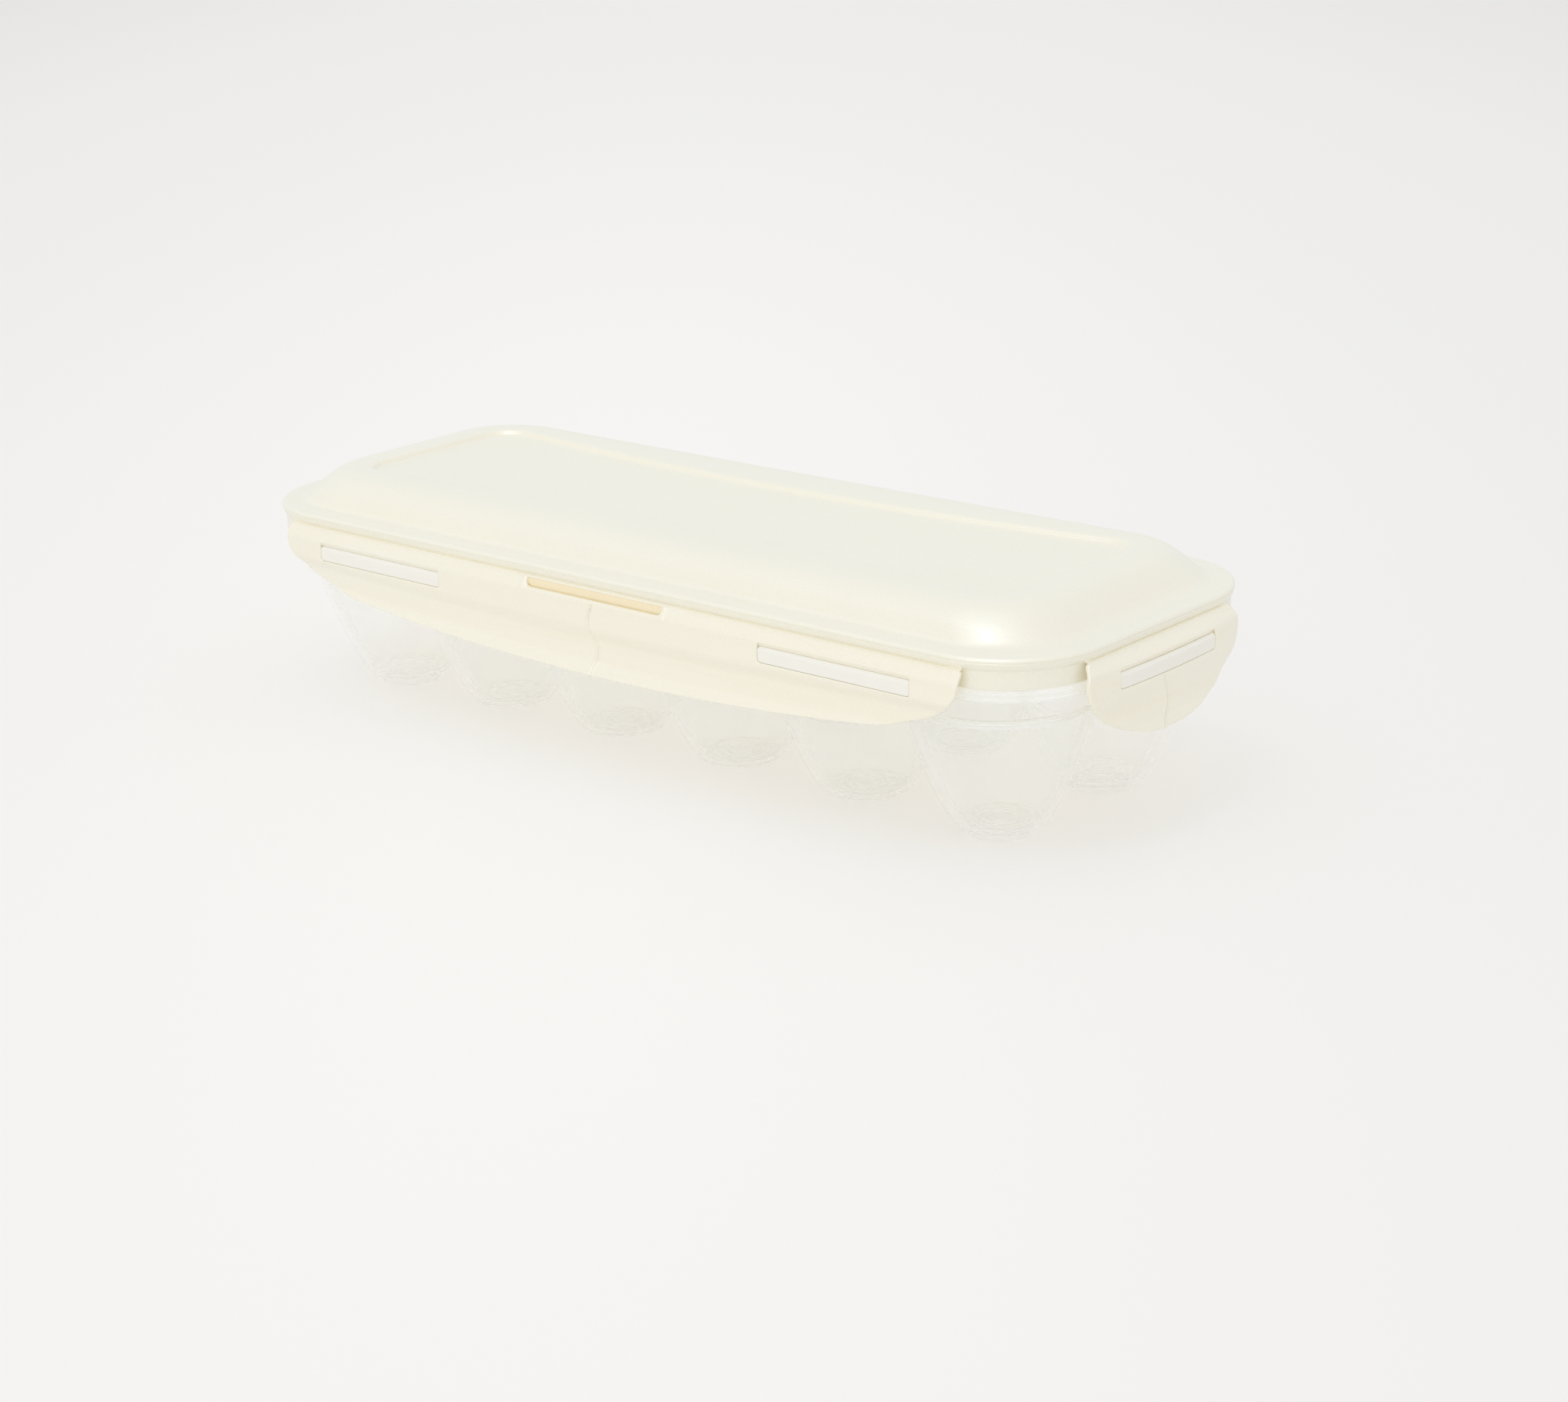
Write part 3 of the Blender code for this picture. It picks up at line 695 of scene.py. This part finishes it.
def rounded(points, size, steps=6):
    """A flat polygon with its corners eased; size is one length or one for each point."""
    count = len(points)
    sizes = [size] * count if isinstance(size, (int, float)) else size
    out = []
    for k in range(count):
        point = np.array(points[k], float)
        lead = np.array(points[k - 1], float) - point
        tail = np.array(points[(k + 1) % count], float) - point
        if sizes[k] <= 0:
            out.append(point)
            continue
        start = point + lead * min(sizes[k] / np.linalg.norm(lead), 0.5)
        stop = point + tail * min(sizes[k] / np.linalg.norm(tail), 0.5)
        for j in range(steps + 1):
            t = j / steps
            out.append((1 - t) ** 2 * start + 2 * t * (1 - t) * point + t * t * stop)
    return out


def slot_outline(x0, x1, z0, z1, size=1.0):
    return rounded([(x0, z0), (x1, z0), (x1, z1), (x0, z1)], size)


def side_outline():
    """Outline of a side flap, with the notch in its hinge edge."""
    low = [(x, float(side_low(x))) for x in np.linspace(-100, 100, 81)]
    turn = [(104.5, 37.1), (110.0, 38.8), (114.0, 40.0), (117.5, 41.4), (120.3, 42.9), (122.7, 44.6),
            (124.6, 46.4), (125.8, 48.2), (126.45, 50.2), (126.6, 52.4)]
    right = low + turn
    left = [(-x, z) for x, z in turn[::-1]]
    right_top = [(126.6, FLAP_TOP), (HINGE_SLOT, FLAP_TOP), (HINGE_SLOT, HINGE_SLOT_LOW)]
    top = right_top + [(-x, z) for x, z in right_top[::-1]]
    sizes = [0] * (len(left) + len(right)) + [0.8, 0.5, 2.0, 2.0, 0.5, 0.8]
    return rounded(left + right + top, sizes)


def end_outline():
    """Outline of an end flap: a half ellipse under a straight hinge edge."""
    turns = np.linspace(math.pi, 2 * math.pi, 61)
    low = [(33.7 * math.cos(v), 50.0 + 19.0 * math.sin(v)) for v in turns]
    top = [(33.2, 52.6), (32.2, FLAP_TOP), (-32.2, FLAP_TOP), (-33.2, 52.6)]
    return rounded(low + top, [0] * len(low) + [1.0, 0.8, 0.8, 1.0])


def flat_plate(name, outlines, thick, edge):
    """A flat plate with rounded edges from outlines in its plane; later outlines are holes."""
    curve = bpy.data.curves.new(name, "CURVE")
    curve.dimensions = "2D"
    curve.fill_mode = "BOTH"
    for points in outlines:
        spline = curve.splines.new("POLY")
        spline.points.add(len(points) - 1)
        for target, (x, z) in zip(spline.points, points):
            target.co = (x, z, 0.0, 1.0)
        spline.use_cyclic_u = True
    curve.offset = -edge
    curve.extrude = thick / 2 - edge
    curve.bevel_depth = edge
    curve.bevel_resolution = 3
    item = bpy.data.objects.new(name, curve)
    bpy.context.scene.collection.objects.link(item)
    bpy.context.view_layer.update()
    mesh = bpy.data.meshes.new_from_object(item.evaluated_get(bpy.context.evaluated_depsgraph_get()))
    bpy.data.objects.remove(item)
    bpy.data.curves.remove(curve)
    bm = bmesh.new()
    bm.from_mesh(mesh)
    bpy.data.meshes.remove(mesh)
    bmesh.ops.remove_doubles(bm, verts=bm.verts, dist=0.004)
    return bm


def slice_plate(bm, xs, zs):
    """Cut a plate along lines of constant x and z, so that it can bend."""
    for value in xs:
        whole = bm.verts[:] + bm.edges[:] + bm.faces[:]
        bmesh.ops.bisect_plane(bm, geom=whole, dist=0.0005, plane_co=(value, 0, 0), plane_no=(1, 0, 0))
    for value in zs:
        whole = bm.verts[:] + bm.edges[:] + bm.faces[:]
        bmesh.ops.bisect_plane(bm, geom=whole, dist=0.0005, plane_co=(0, value, 0), plane_no=(0, 1, 0))
    bmesh.ops.remove_doubles(bm, verts=bm.verts, dist=0.012)


def plate_object(name, bm, material):
    """A smooth object from a finished plate, its faces turned outward."""
    bmesh.ops.recalc_face_normals(bm, faces=bm.faces)
    if bm.calc_volume(signed=True) < 0:
        bmesh.ops.reverse_faces(bm, faces=bm.faces)
    mesh = bpy.data.meshes.new(name)
    bm.to_mesh(mesh)
    bm.free()
    mesh.materials.append(material)
    mesh.shade_smooth()
    item = bpy.data.objects.new(name, mesh)
    bpy.context.scene.collection.objects.link(item)
    return item


def make_flap(name, side, turn, outlines, depth, xs, material):
    """One flap: a plate bent to its section and turned to its side of the lid."""
    bm = flat_plate(name, outlines, FLAP_THICK, FLAP_EDGE)
    slice_plate(bm, xs, np.arange(31.2, FLAP_TOP, 0.75))
    spots = np.array([v.co for v in bm.verts])
    face = depth(spots[:, 0], spots[:, 1])
    spin = Matrix.Rotation(math.radians(turn), 3, "Z")
    for vert, out in zip(bm.verts, face):
        x, z, through = vert.co
        vert.co = spin @ Vector((x, out - FLAP_THICK / 2 + through, z)) * MM
    item = plate_object(name, bm, material)
    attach(item, side)
    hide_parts(side)


FILM_LOW, FILM_HIGH, FILM_THICK = 54.2, 55.5, 0.5
LIP_LOW = 54.5
SIDE_BEAD, END_BEAD = 54.2, 147.9
# Height, share of the way from the lid's bead to the flap, and depth of the hinge groove.
FILM_LEVELS = (
    (55.9, 0.0, 0.1), (55.45, 0.0, 0.05), (55.25, 0.0, 0.2), (55.1, 0.1, 0.25), (54.95, 0.45, 0.1),
    (54.8, 0.75, 0.0), (LIP_LOW, 1.0, 0.0), (FILM_LOW, 1.0, 0.0),
)


def turned(turn):
    """A turn about Z in degrees, as an array."""
    return np.array(Matrix.Rotation(math.radians(turn), 3, "Z"))


def film_strip(name, turn, x0, x1, depth, bead, material, low=FILM_LOW):
    """A thin strip that hangs from the lid's bead out to the flap's face."""
    xs = np.linspace(x0, x1, max(4, round(abs(x1 - x0) / 3)))
    outer_low = depth(xs, np.full_like(xs, FILM_LOW)) - 0.4
    rows = [(z, bead + (outer_low - bead) * share - sunk) for z, share, sunk in FILM_LEVELS if z >= low]
    strip = []
    for index, x in enumerate(xs):
        loop = [(x, y[index], z) for z, y in rows]
        loop += [(x, y[index] - FILM_THICK, z) for z, y in rows[::-1]]
        strip.append(np.array(loop) @ turned(turn).T)
    film = sweep(name, strip, material, caps=(True, True), smooth=50.0)
    return film


def make_film(name, turn, x0, x1, depth, bead, material):
    """The thin hinge film between the lid's bead and a flap's top edge."""
    film = film_strip(name, turn, x0, x1, depth, bead, material)
    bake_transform(film)


def make_slot_ledge(name, side, turn, x0, x1, depth, material):
    """The stepped upper edge inside a locking slot, which the tab hooks behind."""
    section = ((0.25, 51.3), (0.5, 50.75), (0.75, 50.28), (1.15, 50.28), (1.15, 51.3))
    strip = []
    for x in np.linspace(x0, x1, max(6, round(abs(x1 - x0) / 2.5))):
        face = float(depth(x, 50.8))
        strip.append(np.array([(x, face - sunk, z) for sunk, z in section]) @ turned(turn).T)
    ledge = sweep(name, strip, material, caps=(True, True), smooth=40.0)
    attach(ledge, side)


def make_slot_shade_sheet(name, turn, material):
    """A thin sheet in front of the lid's wall behind a hinge slot, in painted shade: a deep warm yellow for
    the dim light passed through layers of cream plastic.
    """
    section = ((54.75, 54.9), (55.25, 53.9), (55.35, 51.6), (54.4, 50.4), (53.7, 50.4), (53.7, 54.9))
    strip = []
    for x in np.linspace(-WEB_REACH, WEB_REACH, 12):
        strip.append(np.array([(x, y, z) for y, z in section]) @ turned(turn).T)
    web = sweep(name, strip, material, caps=(True, True), smooth=30.0)
    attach(web, "lid")


def make_flaps(material, slot_shade):
    """Four flaps with their hinge films, slot ledges and hinge slots.

    The cuts across a flap are finer at its flow line and at the ends of its hinge slot.
    """
    coarse = np.arange(-126, 126.1, 3.0)
    side_xs = np.concatenate([coarse, np.arange(-2.7, 2.71, 0.3), np.arange(25.95, 28.3, 0.35)])
    side_xs = np.unique(np.round(np.concatenate([side_xs, -side_xs]), 3))
    end_xs = np.concatenate([np.arange(-33, -0.5, 1.5), np.arange(0.0, 4.6, 0.3), np.arange(6, 33.1, 1.5)])
    near, far = SIDE_SLOT
    side_outlines = [
        side_outline(),
        slot_outline(near, far, SLOT_LOW, SLOT_HIGH),
        slot_outline(-far, -near, SLOT_LOW, SLOT_HIGH),
    ]
    end_outlines = [end_outline(), slot_outline(-END_SLOT, END_SLOT, SLOT_LOW, SLOT_HIGH)]
    for side, turn in (("flap_front", 180), ("flap_back", 0)):
        make_flap(side + "_panel", side, turn, side_outlines, side_depth, side_xs, material)
        for word, x0, x1 in (("a", *SIDE_FILM), ("b", -SIDE_FILM[1], -SIDE_FILM[0])):
            make_film(f"{side}_film_{word}", turn, x0, x1, side_depth, SIDE_BEAD, material)
        reach = LIP_REACH
        lip = film_strip(f"{side}_slot_lip", turn, -reach, reach, side_depth, SIDE_BEAD, material, LIP_LOW)
        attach(lip, "lid")
        make_slot_shade_sheet(f"{side}_slot_shade_sheet", turn, slot_shade)
        start, stop = near - LEDGE_PAST, far + LEDGE_PAST
        for word, x0, x1 in (("a", start, stop), ("b", -stop, -start)):
            make_slot_ledge(f"{side}_ledge_{word}", side, turn, x0, x1, side_depth, material)
    for side, turn in (("flap_left", 90), ("flap_right", -90)):
        make_flap(side + "_panel", side, turn, end_outlines, end_depth, end_xs, material)
        make_film(side + "_film", turn, -END_FILM, END_FILM, end_depth, END_BEAD, material)
        reach = END_SLOT + LEDGE_PAST
        make_slot_ledge(side + "_ledge", side, turn, -reach, reach, end_depth, material)


TAB_GAP, TAB_SUNK, TAB_EDGE = 0.06, 0.15, 0.25
TAB_LOW, TAB_HIGH = 45.84, 50.2
SIDE_ROOT, END_ROOT = 53.55, 147.35


def make_tabs(material):
    """The tray's six milky locking tabs, which fill most of the flaps' slots."""
    near, far, reach = SIDE_SLOT[0] + TAB_GAP, SIDE_SLOT[1] - TAB_GAP, END_SLOT - TAB_GAP
    runs = [("front_left", 180, near, far), ("front_right", 180, -far, -near),
            ("back_left", 0, -far, -near), ("back_right", 0, near, far),
            ("left", 90, -reach, reach), ("right", -90, -reach, reach)]
    for word, turn, x0, x1 in runs:
        depth, root = (end_depth, END_ROOT) if abs(turn) == 90 else (side_depth, SIDE_ROOT)
        bm = flat_plate("tab", [slot_outline(x0, x1, TAB_LOW, TAB_HIGH)], 2.0, TAB_EDGE)
        slice_plate(bm, np.arange(x0 + 1.5, x1, 1.5), (48.4, 48.8, 49.2, 49.6))
        spin = Matrix.Rotation(math.radians(turn), 3, "Z")
        for vert in bm.verts:
            x, z, through = vert.co
            out = float(depth(x, 48.0)) - TAB_SUNK - 0.6 * float(ease(z - 49.2))
            back = root + 0.95 * float(ease((z - 48.5) / 0.8))
            vert.co = spin @ Vector((x, back + (out - back) * (through + 1.0) / 2.0, z)) * MM
        item = plate_object(f"tab_{word}", bm, material)
        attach(item, "tray")


# Stage, light and camera

# The floor's glow is painted light that lifts the shade under the tray, and its tones below make a painted
# pool of light, brightest round the object.
FLOOR_GLOW = 0.92
FLOOR_LIGHT_POOL = (
    (0.04, (0.482, 0.475, 0.464)),
    (0.20, (0.460, 0.454, 0.445)),
    (0.35, (0.442, 0.438, 0.429)),
    (0.60, (0.430, 0.425, 0.416)),
    (0.95, (0.402, 0.396, 0.388)),
)
WORLD, WORLD_LEVEL = (1.0, 0.998, 0.995, 1.0), 0.872
# Name, azimuth, elevation and spread in degrees, strength and colour of each lamp.
SUNS = (
    ("key", 0.0, 66.0, 60.0, 0.25, (0.91, 0.98, 1.06)),
    ("key_core", 6.0, 66.0, 14.0, 0.18, (0.91, 0.98, 1.06)),
    ("front_fill", 12.0, 3.0, 70.0, 0.42, (1.0, 0.955, 0.88)),
)


def toward(azimuth, elevation):
    """The direction from the object toward an azimuth and elevation in degrees."""
    az, el = math.radians(azimuth), math.radians(elevation)
    return Vector((math.sin(az) * math.cos(el), -math.cos(az) * math.cos(el), math.sin(el)))


def make_stage():
    """A pale seamless floor that glows faintly, a soft light from above with a brighter core, and a low front
    fill.

    The floor's colour and glow are brightest in an oval round the object, whose long axis runs along the
    camera's view: a painted pool of light, and the glow is painted light that lifts the shade under the tray.
    """
    material, tree, shader, place = start_material("floor_paper")
    oval = node(tree, "ShaderNodeMapping", [("Vector", place)], vector_type="TEXTURE",
                Location=(-0.04, -0.03, 0.0), Rotation=(0.0, 0.0, math.radians(41.4)), Scale=(1.0, 4.0, 1.0))
    reach = node(tree, "ShaderNodeVectorMath", [("Vector", oval.outputs[0])], operation="LENGTH")
    color = ramp(tree, reach.outputs["Value"], FLOOR_LIGHT_POOL)
    tree.links.new(color, shader.inputs["Emission Color"])
    shader.inputs["Emission Strength"].default_value = FLOOR_GLOW
    tree.links.new(color, shader.inputs["Base Color"])
    shader.inputs["Roughness"].default_value = 0.9
    shader.inputs["Specular IOR Level"].default_value = 0.1
    points = [(sx * 9000, sy * 9000, -0.05) for sx, sy in ((-1, -1), (1, -1), (1, 1), (-1, 1))]
    floor = make_object("floor", points, [(0, 1, 2, 3)], material)
    if floor.data.polygons[0].normal.z < 0:
        floor.data.flip_normals()
    world = bpy.data.worlds.new("studio")
    bpy.context.scene.world = world
    world.use_nodes = True
    world.node_tree.nodes["Background"].inputs["Color"].default_value = WORLD
    world.node_tree.nodes["Background"].inputs["Strength"].default_value = WORLD_LEVEL
    for name, azimuth, elevation, spread, strength, color in SUNS:
        lamp = bpy.data.lights.new(name, "SUN")
        lamp.energy, lamp.angle, lamp.color = strength, math.radians(spread), color
        item = bpy.data.objects.new(name, lamp)
        back = toward(azimuth, elevation)
        item.rotation_euler = back.to_track_quat("Z", "Y").to_euler()
        item.location = back * 2
        bpy.context.scene.collection.objects.link(item)


EYE, AZIMUTH, ELEVATION, ROLL = (0.5748, -0.6297, 0.2896), 41.42, 18.317, -1.881
SENSOR = 36.0
FOCAL = 1.9655975


def make_camera():
    """The camera, a little above the tray and in line with its near corner."""
    data = bpy.data.cameras.new("camera")
    data.sensor_width = SENSOR
    data.lens = FOCAL * SENSOR
    data.clip_start, data.clip_end = 0.02, 40.0
    roll = math.radians(ROLL)
    back = toward(AZIMUTH, ELEVATION)
    right = Vector((0, 0, 1)).cross(back).normalized()
    up = back.cross(right)
    right, up = (math.cos(roll) * right + math.sin(roll) * up, math.cos(roll) * up - math.sin(roll) * right)
    camera = bpy.data.objects.new("camera", data)
    camera.matrix_world = Matrix((
        (right.x, up.x, back.x, EYE[0]),
        (right.y, up.y, back.y, EYE[1]),
        (right.z, up.z, back.z, EYE[2]),
        (0, 0, 0, 1),
    ))
    bpy.context.scene.collection.objects.link(camera)
    bpy.context.scene.camera = camera


cream = cream_plastic("cream_pearl_plastic", CREAM_LOW, CREAM_HIGH, (28.0, 28.0, 28.0), 0.96)
# The flaps' cream is painted lighter and warmer than the lid's, for the front light that they catch.
lit_flap_plastic = cream_plastic("cream_lit_flap_plastic", FLAP_LIT_LOW, FLAP_LIT_HIGH, (9.0, 9.0, 190.0), 0.95)
make_tray(clear_plastic("clear_plastic_thin", ((0.0, 0.17), (0.5, 0.24), (0.8, 0.38), (1.0, 0.62))))
make_bands(clear_plastic("clear_plastic_rim", ((0.0, 0.42), (0.5, 0.50), (1.0, 0.88))))
make_lid(cream)
make_gate_mark(cream)
make_seal(silicone())
# The sheets behind the hinge slots get a painted shade of deep yellow.
make_flaps(lit_flap_plastic, cream_plastic("cream_slot_shade_plastic", SLOT_SHADE_LOW, SLOT_SHADE_HIGH, (9.0, 9.0, 190.0)))
make_tabs(milky_plastic())
make_stage()
make_camera()
bpy.context.scene.view_settings.view_transform = "Standard"
